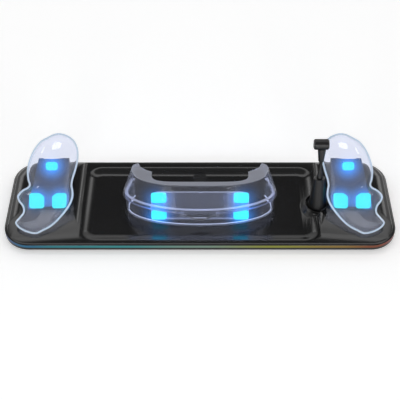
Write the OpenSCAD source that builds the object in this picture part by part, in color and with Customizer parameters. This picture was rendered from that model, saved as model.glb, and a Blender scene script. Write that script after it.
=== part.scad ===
/* [Base] */
// Width of the base, left to right
base_w = 430; // [410:2:450]
// Depth of the base, front to back
base_d = 130; // [126:1:138]
// Plan radius of the base's corners
corner_r = 30; // [27:1:34]
// Height of the deck above the desk
deck_h = 10; // [10:0.25:12]
// Thickness of the deck
deck_t = 2; // [1.8:0.1:2.4]
// Width of the rounding along the deck's outer edge
edge_run = 3; // [2:0.25:4]
// Drop of the rounding along the deck's outer edge
edge_drop = 0.8; // [0.5:0.1:0.9]
// Height of the bottom cover's underside above the desk
foot_h = 1; // [0.8:0.1:1.4]
// Thickness of the bottom cover's floor
floor_t = 1.6; // [1.4:0.1:1.8]
// Thickness of the covers' side walls
wall_t = 2.2; // [1.8:0.1:2.6]
// Chamfer round the underside
under_chamfer = 1.5; // [1:0.1:2]

/* [Light band] */
// Height of the band's lower edge above the desk
band_low = 5.6; // [5.2:0.1:5.8]
// Height of the lit band
band_h = 3.4; // [3:0.1:3.4]
// Thickness of the milky strip
band_t = 1.8; // [1.5:0.1:2.2]
// Where the strip ends on each side, from the middle of the base
band_end = 32; // [28:1:34]
// Depth of a lamp between the strip and its circuit
lamp_t = 0.8; // [0.6:0.1:1]
// Thickness of the lamps' flexible circuit
flex_t = 0.4; // [0.3:0.1:0.5]
// Number of lamps along the front
lamps = 24; // [16:1:30]

/* [Middle tray] */
// Gap between the tray's edge and a mound's foot
tray_gap = 1; // [0.5:0.5:4]
// Margin between the tray and the front edge
tray_front = 6; // [5:0.5:8]
// Margin between the tray and the back edge
tray_back = 8; // [7.5:0.5:11]
// Plan radius of the tray's corners
tray_r = 17; // [17:1:24]
// Height of the tray's floor above the desk
tray_h = 6; // [5.8:0.1:6.4]
// Thickness of the tray's floor
tray_t = 1.8; // [1.5:0.1:1.9]
// Width of the tray's sloping side
tray_run = 15; // [12:1:16]

/* [End mounds] */
// Distance between a mound's foot and the outside of the base
mound_edge = 3; // [2.5:0.5:5]
// Width of a mound
mound_w = 80; // [76:1:82]
// Height of the mound's top above the desk
mound_h = 16; // [14:0.5:17]
// Width of the mound's rounded outer side
flank_run = 12; // [9:1:14]
// Width of the mound's rounded inner side
inner_run = 10; // [7:1:11]
// Distance between the base's front edge and the brow, where the mound's top ends
brow_in = 42; // [38:1:44]
// Distance between the base's front edge and the foot of the slope below the brow
ramp_in = 11; // [8:1:14]
// Thickness of the mound's wall
mound_t = 2; // [1.8:0.1:2.4]

/* [Saddles] */
// Width of a saddle at its foot
saddle_w = 47; // [44:1:48]
// How far a saddle is set in from the mound's middle, towards the middle of the dock
saddle_in = 3.5; // [1:0.5:4]
// Distance between the mound's brow and a saddle's front face
saddle_set = 5; // [4:0.5:7]
// Height of the slope's lower edge above the mound
slope_lift = 1; // [0.8:0.1:2]
// Slope of the saddle's face, from level
slope_a = 44; // [40:1:47]
// Length of the saddle's face
slope_len = 54; // [50:1:56]
// Thickness of the saddle's top
crest_t = 3.5; // [3:0.5:6]
// Length of a saddle where it stands on the mound
saddle_l = 51; // [50:1:55]
// How far the saddle's outer side leans in at the top
saddle_lean = 12; // [8:1:14]
// Depth of the hollow down the saddle's face
trough_d = 4; // [3:0.5:4.5]
// Width of that hollow
trough_w = 42; // [36:1:43]
// How far the two ears stand above the crest
ear_h = 2.5; // [1.5:0.5:4]
// Thickness of the saddle's wall
saddle_t = 2.2; // [1.8:0.1:2.6]

/* [Pads] */
// How far the pads stand out of the saddle's face
pad_out = 1.5; // [1:0.25:2.5]
// Width of a lower pad
pad_w = 16; // [13:0.5:16.5]
// Length of a lower pad
pad_l = 17; // [14:0.5:19]
// Distance between the middles of the two lower pads
pad_pitch = 25.5; // [24:0.5:26]
// Width of the upper pad
pad_top_w = 12.5; // [10:0.5:18]
// Length of the upper pad
pad_top_l = 9; // [7:0.5:12]
// Distance between the upper pad and the crest
pad_top_gap = 2; // [1:0.5:6]
// How far the upper pad is set towards the middle of the dock
pad_top_in = 1; // [0:0.5:6]
// Radius of the pads' corners
pad_r = 3; // [2:0.25:4]

/* [Clear cradles] */
// Wall of a clear cradle
clear_t = 2; // [1.8:0.1:2.4]
// Height of the cradle's rim above the saddle's face
rim_w = 14; // [12:0.5:16]
// Height of the rim above the deck at the toe
toe_h = 4; // [3.5:0.25:6]
// Scale of the cradle's outline
cradle_size = 1; // [0.94:0.01:1.02]

/* [Headset rest] */
// Distance between the base's front edge and the rest's front
rest_in = 30.5; // [29:0.5:33]
// Half width of the rest at its waist
rest_half = 86; // [83:0.5:89]
// Half width of the rest at its top
rest_top_half = 75; // [72:0.5:78]
// Height of the waist above the tray's floor
rest_waist = 20; // [18:0.5:24]
// Height of the rest above the tray's floor
rest_h = 47; // [42:1:52]
// How far the rest leans back between its waist and its top
rest_lean = 16.8; // [14:0.2:19]
// Depth of the waist's bow
waist_bow_d = 32.5; // [30:0.5:35]
// Depth of the lower band's bow
low_bow_d = 30; // [28:0.5:32]
// Depth of the top's bow
top_bow_d = 29.7; // [28:0.1:31]
// Length of the waist's arms behind the bow
waist_arm = 59; // [54:1:64]
// Length of the lower band's arms behind the bow
low_arm = 45; // [40:1:50]
// Length of the top's arms behind the bow
top_arm = 15; // [12:1:18]
// Width of the top's flange at the front
flange_w = 6.1; // [5:0.1:7]
// Width of the top's flange at its corners
flange_side = 22; // [20:0.5:24]
// Wall of the rest
rest_t = 2; // [1.6:0.1:2.4]
// How far the lower band is set in from the waist's ends
rest_step = 3.5; // [3:0.25:4.5]
// How far the lower band's foot juts inwards
foot_lip = 1; // [0.6:0.1:1.2]
// Thickness of that foot
foot_lip_t = 1.2; // [0.8:0.1:1.4]
// Half width of the notch in the lower band
notch_half = 17.5; // [14:0.5:20]
// Depth of that notch
notch_d = 10; // [8:0.5:12]
// Width of the two tabs beside the notch
clip_w = 2.4; // [1.8:0.1:3]
// Width of the plate behind the rest
plate_w = 108; // [100:1:112]
// Length of that plate
plate_l = 32.5; // [31:0.5:34]
// Lean of that plate, from upright
plate_a = 25; // [20:1:28]
// Distance between the rest's front and the plate's foot
plate_gap = 11; // [10.8:0.2:14]
// Width of a pad on the plate
rest_pad_w = 17; // [14:0.5:18]
// Length of the upper pads on the plate
rest_pad_l = 12; // [10:0.5:13]
// Length of the lower pads on the plate
rest_pad_low_l = 10.5; // [8:0.5:12]
// Thickness of the pads on the plate
rest_pad_t = 2; // [1.5:0.25:2]

/* [Plug and sleeve] */
// Distance between the sleeve's axis and the right saddle
sleeve_gap = 12.75; // [12:0.25:14]
// Distance between the sleeve's foot and the base's front edge
sleeve_in = 60; // [57:0.5:63]
// Lean of the sleeve towards the back
sleeve_a = 15; // [10:1:18]
// Length of the sleeve
sleeve_l = 35; // [30:1:38]
// Radius of the sleeve at its foot
sleeve_r0 = 10.4; // [9.5:0.1:10.6]
// Radius of the sleeve at its mouth
sleeve_r1 = 6.6; // [6:0.1:7]
// Radius of the sleeve's bore
bore_r = 3.6; // [3.2:0.1:4]
// Radius of the pocket that the sleeve stands in
pocket_r = 13.2; // [12.8:0.1:13.6]
// Height of the pocket's collar above the desk
collar_h = 13.4; // [12.4:0.2:14]
// Width of the collar's rim
collar_t = 1.8; // [1.4:0.1:2.6]
// How far the collar widens towards its foot
collar_flare = 6; // [4:0.5:7]
// Height of the clip beside the sleeve's foot
clip_h = 3.2; // [2.4:0.1:4]
// Direction of that clip, from the front towards the right
clip_a = 42; // [20:1:60]
// Radius of the lead
lead_r = 1.6; // [1.3:0.1:1.8]
// Distance from the sleeve's foot to the plug's stem
stem_at = 56; // [52:1:60]
// Length of the stem
stem_l = 14.6; // [12:0.2:18]
// Radius of the stem at the lead
stem_r0 = 3; // [2.4:0.1:3.4]
// Radius of the stem at the head
stem_r1 = 4.5; // [4:0.1:5]
// Radius of the plug's head
head_r = 5.9; // [5.4:0.1:6.4]
// Length of the plug's head
head_l = 16.4; // [14:0.2:19]
// Diameter of a contact pin
contact_d = 2; // [1.4:0.1:2.4]

/* [Touch key] */
// Radius of the touch key
key_r = 8; // [6:0.25:9]
// Distance between the key's middle and the back edge
key_back = 23; // [22:0.5:28]
// Height of the key above the tray's floor
key_out = 0.6; // [0.4:0.1:1]

/* [Inside] */
// Thickness of a circuit board
board_t = 1; // [0.8:0.1:1.2]
// Gap between a board and the bottom cover's floor
board_gap = 0.4; // [0.3:0.1:0.5]
// Width of the power socket
port_w = 9; // [8.8:0.1:9.4]
// Height of the power socket
port_h = 3.2; // [3:0.1:3.4]
// Depth of the power socket
port_d = 7; // [6.5:0.25:7.5]
// Length of the ballast plate
ballast_l = 180; // [120:5:200]
// Width of the ballast plate
ballast_w = 50; // [40:1:54]
// Thickness of the ballast plate
ballast_t = 1; // [0.8:0.1:1.2]
// Radius of a cover screw
screw_r = 1.25; // [1:0.05:1.4]
// Radius of a cover screw's head
screw_head_r = 2.3; // [2:0.1:2.6]
// Height of a cover screw's head
screw_head_h = 1.1; // [0.9:0.1:1.3]
// Radius of a rubber foot
foot_r = 7; // [5:0.5:9]
// How far a rubber foot sinks into the bottom cover
foot_in = 0.6; // [0.4:0.1:0.8]
// Gap between pieces that slip into each other
slip = 0.15; // [0.1:0.05:0.2]

/* [Hidden] */
$fn = 64;

band_top = band_low + band_h;
lamp_stack = band_t + lamp_t + flex_t;
inside_h = foot_h + floor_t;
under_deck = deck_h - deck_t;
far = 500;

// Middle of the left mound
mound_x = base_w / 2 - mound_edge - mound_w / 2;
mound_y = (brow_in - mound_edge) / 2;
mound_r = corner_r - mound_edge;
brow_y = brow_in - base_d / 2;
ramp_a = atan((mound_h - deck_h) / (brow_in - ramp_in));

// Size of the tray, and its middle, front to back
tray_w = 2 * (mound_x - mound_w / 2 - tray_gap);
tray_d = base_d - tray_front - tray_back;
tray_y = (tray_front - tray_back) / 2;

// Left saddle, whose inner side faces the middle of the dock
saddle_mid = mound_x - saddle_in;
saddle_front = brow_y + saddle_set;
slope_low = mound_h + slope_lift;
saddle_side_x = saddle_mid - saddle_w / 2;
sleeve_x = saddle_side_x - sleeve_gap;
sleeve_y = sleeve_in - base_d / 2;
crest_y = saddle_front + slope_len * cos(slope_a);
crest_z = slope_low + slope_len * sin(slope_a);

// Boards and their supports
board_z = inside_h + board_gap;
post_top = tray_h - tray_t - 0.2;
port_z = board_z + board_t + port_h / 2;
board_w = 46;
charge_board_w = 26;
charge_board_in = 1;
charge_board_up = 14;
lamp_w = 3;
side_pitch = 16;

// Screw posts: how far in from the ends, the back edge and the front edge they stand
post_r = 3.4;
post_end = 40;
post_mid = 70;
post_rear = 6.5;
post_corner = 25;
post_front = 20;
rear_post_y = base_d / 2 - post_rear;
front_post_y = post_front - base_d / 2;
post_at = [
    for (s = [-1, 1]) [s * (base_w / 2 - post_end), rear_post_y],
    for (s = [-1, 1]) [s * post_mid, rear_post_y],
    for (s = [-1, 1]) [s * (base_w / 2 - post_corner), front_post_y]
];

// Feet: how far in from the ends and from the long edges they stand
foot_end = 38;
foot_side = 34;
foot_at = [
    for (sx = [-1, 1]) for (sy = [-1, 1]) [sx * (base_w / 2 - foot_end), sy * (base_d / 2 - foot_side)],
    for (sy = [-1, 1]) [0, sy * (base_d / 2 - foot_side)]
];

// Flat cable, which lies against the ballast plate's front edge and laps over both boards
cable_w = 6;
cable_t = 0.35;
cable_end = 10;
cable_lap = 8;
cable_y = tray_y - ballast_w / 2 - cable_w / 2;

// A smooth step from one point of a profile to another
function step_curve(x0, z0, x1, z1, bias = 1, n = 10) = [
    for (i = [0:n]) let (t = i / n) [x0 + (x1 - x0) * t, z0 + (z1 - z0) * (1 - cos(180 * pow(t, bias))) / 2]
];

// A quarter of an ellipse, from its upright end to its flat end
function quarter(x0, z0, x1, z1, n = 5) = [
    for (i = [0:n]) let (a = 90 * i / n) [x1 + (x0 - x1) * cos(a), z0 + (z1 - z0) * sin(a)]
];

// Passes a smooth curve through a list of rows
function row_mix(a, b, c, d, f) =
    0.5 * (2 * b + (c - a) * f + (2 * a - 5 * b + 4 * c - d) * f * f + (3 * b - a - 3 * c + d) * f * f * f);
function along(rows, t) =
    let (n = len(rows) - 1, i = min(floor(t), n - 1), f = t - i)
    row_mix(rows[max(i - 1, 0)], rows[i], rows[i + 1], rows[min(i + 2, n)], f);

// Sweeps a profile, drawn outwards from a corner's centre, round a rounded rectangle
module around(w, d, r) {
    sx = w / 2 - r;
    sy = d / 2 - r;
    for (k = [0:3]) {
        mx = (k == 0 || k == 3) ? sx : -sx;
        my = k < 2 ? sy : -sy;
        translate([mx, my, 0]) rotate([0, 0, 90 * k]) rotate_extrude(angle = 90) children();
    }
    for (s = [-1, 1]) {
        translate([0, s * sy, 0]) rotate([0, 0, 90 * s]) rotate([90, 0, 0])
            linear_extrude(2 * sx, center = true) children();
        translate([s * sx, 0, 0]) rotate([0, 0, s > 0 ? 0 : 180]) rotate([90, 0, 0])
            linear_extrude(2 * sy, center = true) children();
    }
}

// A rounded rectangular slab whose edge has the profile that is given, from height z0 to z1
module slab(w, d, r, z0, z1) {
    around(w, d, r) children();
    translate([r - w / 2, r - d / 2, z0]) cube([w - 2 * r, d - 2 * r, z1 - z0]);
}

module plain_slab(w, d, r, z0, z1) {
    slab(w, d, r, z0, z1) translate([0, z0]) square([r, z1 - z0]);
}

// A band round the base, between two distances from its outer face
module base_band(outer, inner, z0, z1) {
    around(base_w, base_d, corner_r)
        translate([corner_r - inner, z0]) square([inner - outer, z1 - z0]);
}

// Everything in front of a line across the base
module in_front(y) {
    intersection() {
        children();
        translate([-far / 2, -far, -1]) cube([far, far + y, far]);
    }
}

module behind(y) {
    intersection() {
        children();
        translate([-far / 2, y, -1]) cube([far, far, far]);
    }
}

module rounded_plate(w, l, r, t) {
    linear_extrude(t) rounded_rect(w, l, r);
}

// A rounded rectangle from y = 0 upwards
module rounded_rect(w, l, r) {
    translate([-w / 2 + r, 0]) square([w - 2 * r, l]);
    translate([-w / 2, r]) square([w, l - 2 * r]);
    for (sx = [-1, 1]) for (y = [r, l - r]) translate([sx * (w / 2 - r), y]) circle(r);
}

// Deck, before the tray is sunk into it
module deck_plate() {
    slab(base_w, base_d, corner_r, band_top, deck_h) polygon(concat(
        [[0, band_top], [corner_r, band_top]],
        quarter(corner_r, deck_h - edge_drop, corner_r - edge_run, deck_h),
        [[0, deck_h]]
    ));
    plain_slab(base_w - 2 * lamp_stack, base_d - 2 * lamp_stack, corner_r - lamp_stack, under_deck, deck_h);
}

// The left mound, with its wall taken in by the inset. Its outer side follows the base's edge, its inner
// side is straight, and its front slopes down from the brow.
module mound(inset = 0) {
    r = mound_r - inset;
    wide = 1.4 * mound_w;
    top = mound_h - inset;
    low = inset > 0 ? under_deck - 1 : under_deck;
    foot = deck_h - inset;
    side = mound_w / 2 - mound_x - inset;
    difference() {
        intersection() {
            translate([mound_edge + wide / 2 - base_w / 2, 0, 0])
                slab(wide - 2 * inset, base_d - 2 * mound_edge - 2 * inset, r, low, top)
                    polygon(concat([[0, low], [r, low]], quarter(r, foot, r - flank_run, top, 8), [[0, top]]));
            rotate([90, 0, 0]) linear_extrude(far, center = true) polygon(concat(
                [[-far, low - 1], [side, low - 1]], quarter(side, foot, side - inner_run, top + 0.05, 8),
                [[side - inner_run, far / 4], [-far, far / 4]]
            ));
        }
        translate([0, brow_y, mound_h - inset / cos(ramp_a)]) rotate([ramp_a, 0, 0])
            translate([-far, -far, 0]) cube([2 * far, far, far]);
    }
}

// Height of the mound's surface at a distance from the middle of the base
function mound_z(y) = y > brow_y ? mound_h : max(mound_h - (brow_y - y) * tan(ramp_a), deck_h);

module both_sides() {
    children();
    mirror([1, 0, 0]) children();
}

// Space above the tray's floor
module tray_space() {
    translate([0, tray_y, 0]) slab(tray_w, tray_d, tray_r, tray_h, far / 5) polygon(concat(
        step_curve(tray_r - tray_run, tray_h, tray_r, deck_h, 1.4),
        [[tray_r, far / 5], [0, far / 5], [0, tray_h]]
    ));
}

// Underside of the tray
module tray_body() {
    r = tray_r + deck_t;
    low = tray_h - tray_t;
    top = deck_h - 0.5;
    translate([0, tray_y, 0]) slab(tray_w + 2 * deck_t, tray_d + 2 * deck_t, r, low, top) polygon(concat(
        step_curve(tray_r - tray_run, low, r, under_deck, 1.4, 6),
        [[r, top], [0, top], [0, low]]
    ));
}

// Collar round the foot of the sleeve
module collar() {
    low = tray_h - tray_t / 2;
    translate([sleeve_x, sleeve_y, low])
        cylinder(r1 = pocket_r + collar_t + collar_flare, r2 = pocket_r + collar_t, h = collar_h - low);
}

// Points along the sleeve's leaning axis
module on_sleeve_axis(l = 0) {
    translate([sleeve_x, sleeve_y, deck_h]) rotate([-sleeve_a, 0, 0]) translate([0, 0, l]) children();
}

module port_hole(gap) {
    translate([0, base_d / 2 - port_d - gap, port_z]) rotate([-90, 0, 0])
        translate([0, -port_h / 2 - gap, 0])
            rounded_plate(port_w + 2 * gap, port_h + 2 * gap, port_h / 2 + gap - 0.01, far);
}

module bottom_cover() {
    color([0.05, 0.05, 0.055]) difference() {
        union() {
            difference() {
                slab(base_w, base_d, corner_r, foot_h, band_low) polygon([
                    [0, foot_h], [corner_r - under_chamfer, foot_h], [corner_r, foot_h + under_chamfer],
                    [corner_r, band_low], [0, band_low]
                ]);
                plain_slab(base_w - 2 * wall_t, base_d - 2 * wall_t, corner_r - wall_t, inside_h, far);
            }
            in_front(band_end) base_band(lamp_stack, lamp_stack + 1.2, inside_h - 0.5, tray_h - 0.2);
            for (p = post_at) translate([p[0], p[1], inside_h - 0.5])
                cylinder(r = post_r, h = post_top - inside_h + 0.5);
            for (p = board_posts()) translate([p[0], p[1], inside_h - 0.5])
                cylinder(r = 2.5, h = board_z - inside_h + 0.5);
        }
        for (p = post_at) translate([p[0], p[1], 0]) {
            cylinder(r = screw_r + slip, h = far);
            cylinder(r = screw_head_r + slip, h = inside_h);
        }
        for (p = foot_at) translate([p[0], p[1], 0]) cylinder(r = foot_r + slip, h = foot_h + foot_in);
        port_hole(slip);
    }
}

// Posts under the three boards
function board_posts() = concat(
    [for (x = [-1, 1]) for (y = [-1, 1]) [-mound_x + x * 20, mound_y + y * 20]],
    [for (x = [-1, 1]) for (y = [-1, 1]) [mound_x + x * 20, mound_y + y * 20]],
    [for (x = [-1, 1]) [x * 6, base_d / 2 - port_d - 3]]
);

module top_cover() {
    color([0.05, 0.05, 0.055]) difference() {
        union() {
            difference() {
                union() {
                    difference() {
                        union() {
                            deck_plate();
                            both_sides() mound();
                        }
                        both_sides() mound(mound_t);
                    }
                    tray_body();
                    behind(band_end) base_band(0, wall_t, band_low, band_top + 0.2);
                    for (p = post_at) translate([p[0], p[1], post_top])
                        cylinder(r = post_r, h = deck_h - post_top - 0.5);
                }
                tray_space();
            }
            collar();
        }
        translate([sleeve_x, sleeve_y, deck_h]) cylinder(r = pocket_r, h = far);
        translate([sleeve_x, sleeve_y, 0])
            cylinder(r1 = pocket_r + collar_flare - 1, r2 = pocket_r - 1, h = under_deck - 0.1);
        on_sleeve_axis(-20) cylinder(r = lead_r + slip, h = 30);
        translate([0, base_d / 2 - key_back, 0]) cylinder(r = key_r + slip, h = far);
        both_sides() translate([-saddle_mid - 8, 0, mound_h - 2 * mound_t]) cube([16, 12, 3 * mound_t]);
        for (p = post_at) translate([p[0], p[1], 0]) cylinder(r = screw_r, h = under_deck + 0.6);
        port_hole(slip);
    }
}

module light_band() {
    color([0.9, 0.93, 0.95]) in_front(band_end) base_band(0, band_t, band_low, band_top);
}

module lamp_circuit() {
    color([0.9, 0.9, 0.86]) {
        in_front(band_end) base_band(band_t + lamp_t, lamp_stack, band_low + 0.3, band_top - 0.3);
        run = base_w - 2 * corner_r;
        for (i = [0:lamps - 1])
            translate([run * ((i + 0.5) / lamps - 0.5) - lamp_w / 2, band_t - base_d / 2, band_low + 0.7])
                cube([lamp_w, lamp_t, band_h - 1.4]);
        for (s = [-1, 1]) for (i = [0:3])
            translate([
                s * (base_w / 2 - band_t - lamp_t / 2) - lamp_t / 2, side_pitch * (i - 1.5), band_low + 0.7
            ]) cube([lamp_t, lamp_w, band_h - 1.4]);
    }
}

// A bare circuit board of size w by d
module board(x, y, w, d) {
    color([0.06, 0.28, 0.14]) translate([x - w / 2, y - d / 2, board_z]) cube([w, d, board_t]);
}

module main_board() {
    board(-mound_x, mound_y, board_w, board_w);
    top = board_z + board_t;
    color([0.12, 0.12, 0.13]) {
        translate([-mound_x - 12, mound_y - 8, top]) cube([9, 9, 1]);
        translate([-mound_x + 6, mound_y + 2, top]) cube([6, 6, 1.2]);
        translate([-mound_x + 2, mound_y - 14, top]) cube([10, 4, 3]);
        translate([-mound_x - 14, mound_y + 12, top]) cylinder(d = 6, h = 5);
    }
}

module plug_board() {
    left = sleeve_x - 8;
    right = mound_x + 24;
    board((left + right) / 2, mound_y, right - left, board_w);
    front = sleeve_y - 6;
    color([0.06, 0.28, 0.14]) translate([left, front, board_z])
        cube([14, mound_y - board_w / 2 - front + 1, board_t]);
    color([0.12, 0.12, 0.13]) translate([mound_x, mound_y, board_z + board_t]) cube([8, 8, 1]);
}

module port_board() {
    back = base_d / 2 - wall_t - 0.6;
    color([0.06, 0.28, 0.14]) translate([-8, back - 8, board_z]) cube([16, 8, board_t]);
}

module power_socket() {
    color([0.75, 0.76, 0.78]) translate([0, base_d / 2 - port_d, port_z]) rotate([-90, 0, 0]) {
        difference() {
            translate([0, -port_h / 2, 0]) rounded_plate(port_w, port_h, port_h / 2 - 0.01, port_d - 0.2);
            translate([0, -port_h / 2 + 0.3, 1])
                rounded_plate(port_w - 0.6, port_h - 0.6, port_h / 2 - 0.31, port_d);
        }
        translate([-3.3, -0.35, 0.5]) cube([6.6, 0.7, port_d - 1.6]);
    }
}

module ballast_plate() {
    color([0.55, 0.56, 0.58]) translate([-ballast_l / 2, tray_y - ballast_w / 2, inside_h])
        cube([ballast_l, ballast_w, ballast_t]);
}

module ribbon_cable() {
    reach = mound_x - cable_end;
    front = cable_y - cable_w / 2;
    color([0.85, 0.85, 0.82]) {
        translate([-reach, front, inside_h]) cube([2 * reach, cable_w, cable_t]);
        both_sides() translate([-reach - cable_w / 2, front, inside_h])
            cube([cable_w, mound_y - board_w / 2 - cable_y + cable_lap, cable_t]);
    }
}

// Places a piece on the left saddle's slope: x towards the right, y up the slope, z out of the face
module on_slope() {
    translate([-saddle_mid, saddle_front, slope_low]) rotate([slope_a, 0, 0]) children();
}

back_y = max(saddle_front + saddle_l, crest_y + crest_t + 1);

// Side view of the saddle
saddle_side = [
    [saddle_front, mound_h], [saddle_front, slope_low], [crest_y, crest_z],
    [crest_y + crest_t, crest_z], [back_y, mound_h]
];

// Side view of the saddle's hollow, which is open below
hollow_drop = (saddle_t + trough_d + 0.2) / cos(slope_a);
hollow_low = mound_h - 1;
hollow_side = let (rise = crest_z - hollow_drop) [
    [saddle_front + (hollow_low - slope_low + hollow_drop) / tan(slope_a), hollow_low], [crest_y, rise],
    [crest_y + crest_t - saddle_t, rise], [back_y - saddle_t, hollow_low]
];

// Extrudes a side view across the left saddle, taken in by t at both sides
module across_saddle(side, t) {
    translate([-saddle_side_x - t, 0, 0]) rotate([90, 0, -90])
        linear_extrude(saddle_w - 2 * t) polygon([for (p = side) [-p[0], p[1]]]);
}

// Outer side's lean, as a wedge that is cut away
module lean_cut(t) {
    on_slope() translate([-saddle_w / 2 + t + 0.3, 0, 0]) rotate([0, 0, -atan(saddle_lean / slope_len)])
        translate([-far / 2, -far / 4, -far / 4]) cube([far / 2, far, far / 2]);
}

module trough() {
    r = (pow(trough_w / 2, 2) + pow(trough_d, 2)) / (2 * trough_d);
    on_slope() translate([saddle_lean / 4, -30, r - trough_d]) rotate([-90, 0, 0])
        cylinder(r = r, h = far / 4, $fn = 96);
}

module saddle_body() {
    difference() {
        union() {
            across_saddle(saddle_side, 0);
            on_slope() for (x = [-saddle_w / 2 + saddle_lean + 4, saddle_w / 2 - 4])
                translate([x, slope_len - 6, -4.5]) rotate([-90, 0, 0]) ear();
        }
        lean_cut(0);
        trough();
    }
}

// A rounded ear at a corner of the crest
module ear() {
    cylinder(r = 3.4, h = 6 + ear_h - 1.6);
    translate([0, 0, 6 + ear_h - 1.6]) cylinder(r1 = 3.4, r2 = 1.6, h = 1.6);
}

module left_saddle() {
    color([0.09, 0.1, 0.12]) difference() {
        saddle_body();
        difference() {
            across_saddle(hollow_side, saddle_t);
            lean_cut(saddle_t);
        }
    }
}

module right_saddle() {
    mirror([1, 0, 0]) left_saddle();
}

module left_charge_board() {
    color([0.06, 0.28, 0.14]) on_slope()
        translate([
            charge_board_in - charge_board_w / 2, charge_board_up, -trough_d - 0.2 - saddle_t - board_t
        ]) cube([charge_board_w, charge_board_w, board_t]);
}

module right_charge_board() {
    mirror([1, 0, 0]) left_charge_board();
}

// A pad's block on the slope, cut to the saddle's face beneath it; the corner nearest the trough's middle
// and highest up the slope is rounded off more than the others
module slope_pad(x, y, w, l, round_side = 0) {
    deep = trough_d + 1;
    color([0.35, 0.95, 1]) difference() {
        on_slope() translate([x, y, -deep]) intersection() {
            rounded_plate(w, l, pad_r, deep + pad_out);
            translate([-round_side * w / 5, l / 4, -1])
                cylinder(r = round_side == 0 ? w + l : 0.82 * l, h = deep + pad_out + 2);
        }
        saddle_body();
        translate([-far / 2, -far / 2, mound_h - far]) cube([far, far, far]);
    }
}

module left_pad_top() {
    slope_pad(pad_top_in + saddle_lean / 4, slope_len - pad_top_gap - pad_top_l, pad_top_w, pad_top_l);
}

module left_pad_outer() {
    slope_pad(-pad_pitch / 2, 0.6, pad_w, pad_l, 1);
}

module left_pad_inner() {
    slope_pad(pad_pitch / 2, 0.6, pad_w, pad_l, -1);
}

module right_pad_top() {
    mirror([1, 0, 0]) left_pad_top();
}

module right_pad_outer() {
    mirror([1, 0, 0]) left_pad_outer();
}

module right_pad_inner() {
    mirror([1, 0, 0]) left_pad_inner();
}

// Rows of the cradle's outline: distance up the slope from its lower edge, reach away from the middle of
// the dock, and reach towards it. Rows below zero are the toe, which lies over the deck.
cradle_rows = [
    [-25, 12, -11], [-24.7, 15, -9.6], [-23.6, 19.5, -7], [-21.8, 24.5, -3.6], [-18, 31, 4], [-13, 34.4, 10.5],
    [-8, 30.5, 15.5], [-3, 26.5, 20], [3, 27.5, 24.3], [9, 31.8, 27.2], [15, 32.7, 28.6], [21, 27.3, 28.2],
    [24, 21.8, 27.6], [27, 20.1, 27.4], [33, 21.8, 28.5], [43, 22.3, 31.6], [54, 19.8, 33.9], [65, 15, 33.8],
    [74, 8, 30.4], [79, -0.5, 25.2], [81.6, -5.6, 20.1], [82.7, -9.2, 16.2], [83, -12, 13.1]
];
cradle_last = len(cradle_rows) - 1;
toe_end = cradle_rows[0][0];
head_end = cradle_rows[cradle_last][0];
cradle_x = saddle_mid + 0.5;
// How deep the cradle would sink into the pads before its back is cut flat
bite = 0.8;

function slope_point(v, w) = [
    saddle_front + v * cos(slope_a) - w * sin(slope_a),
    slope_low + v * sin(slope_a) + w * cos(slope_a)
];

// Rim's place in side view
function rim_at(s) = s >= 0 ? slope_point(s, rim_w) : let (
        p = slope_point(0, rim_w),
        k = 1 - s / toe_end,
        z = deck_h + toe_h
    ) [p[0] + s, z + (p[1] - z) * pow(k, 1.15)];

// Back's place in side view, where it lies on the saddle's pads or over the deck
function back_at(s) = s >= 0 ? slope_point(s, pad_out - bite) : let (
        p = slope_point(0, pad_out - bite),
        k = 1 - s / toe_end,
        z = mound_z(p[0] + 1.25 * toe_end) + 0.5
    ) [p[0] + 1.25 * s, z + (p[1] - z) * k];

// Share of the full depth, which closes to nothing at both ends
function depth_at(s) = s > 56 ? sqrt(max(1 - pow((s - 56) / (head_end + 0.3 - 56), 2), 0))
    : s < -13 ? sqrt(max(1 - pow((s + 13) / (toe_end - 0.3 + 13), 2), 0)) : 1;

// One ring across the cradle, from its outer rim to its inner rim, taken in by t
function cradle_ring(row, t, m) = let (
        s = row[0],
        rim = rim_at(s),
        back = back_at(s),
        deep = norm(rim - back) * depth_at(s),
        share = max(deep - t, 0.05) / norm(rim - back),
        xo = -cradle_x - (row[1] - t) * cradle_size,
        xi = -cradle_x + (row[2] - t) * cradle_size,
        a = (xi - xo) / 2,
        mid = (xi + xo) / 2
    ) [
    for (j = [0:m]) let (
        f = 180 * j / m,
        cx = -sign(cos(f)) * pow(abs(cos(f)), 0.77),
        q = share * pow(max(sin(f), 0), 0.77)
    ) [mid + a * cx, rim[0] + (back[0] - rim[0]) * q, rim[1] + (back[1] - rim[1]) * q]
];

// Stations along the cradle, closer together at its ends
function cradle_stations(n) = [for (i = [0:n]) cradle_last * (1 - cos(180 * i / n)) / 2];

// Rows along the cradle, drawn in at both ends by t
function cradle_row(u, t) = let (
        row = along(cradle_rows, u),
        k = (row[0] - toe_end) / (head_end - toe_end),
        s = toe_end + t + k * (head_end - toe_end - 2 * t)
    ) [s, row[1], row[2]];

// Triangles between rings of the same count, wound one way or the other
function skin(n, m, base, flip) = [
    for (i = [0:n - 1]) for (j = [0:m - 1]) let (
        a = base + i * (m + 1) + j,
        b = a + 1,
        c = a + m + 1,
        d = c + 1
    ) each flip ? [[a, c, b], [b, c, d]] : [[a, b, c], [b, d, c]]
];

function fan(base, m, flip) = [
    for (j = [1:m - 1]) flip ? [base, base + j, base + j + 1] : [base, base + j + 1, base + j]
];

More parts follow.
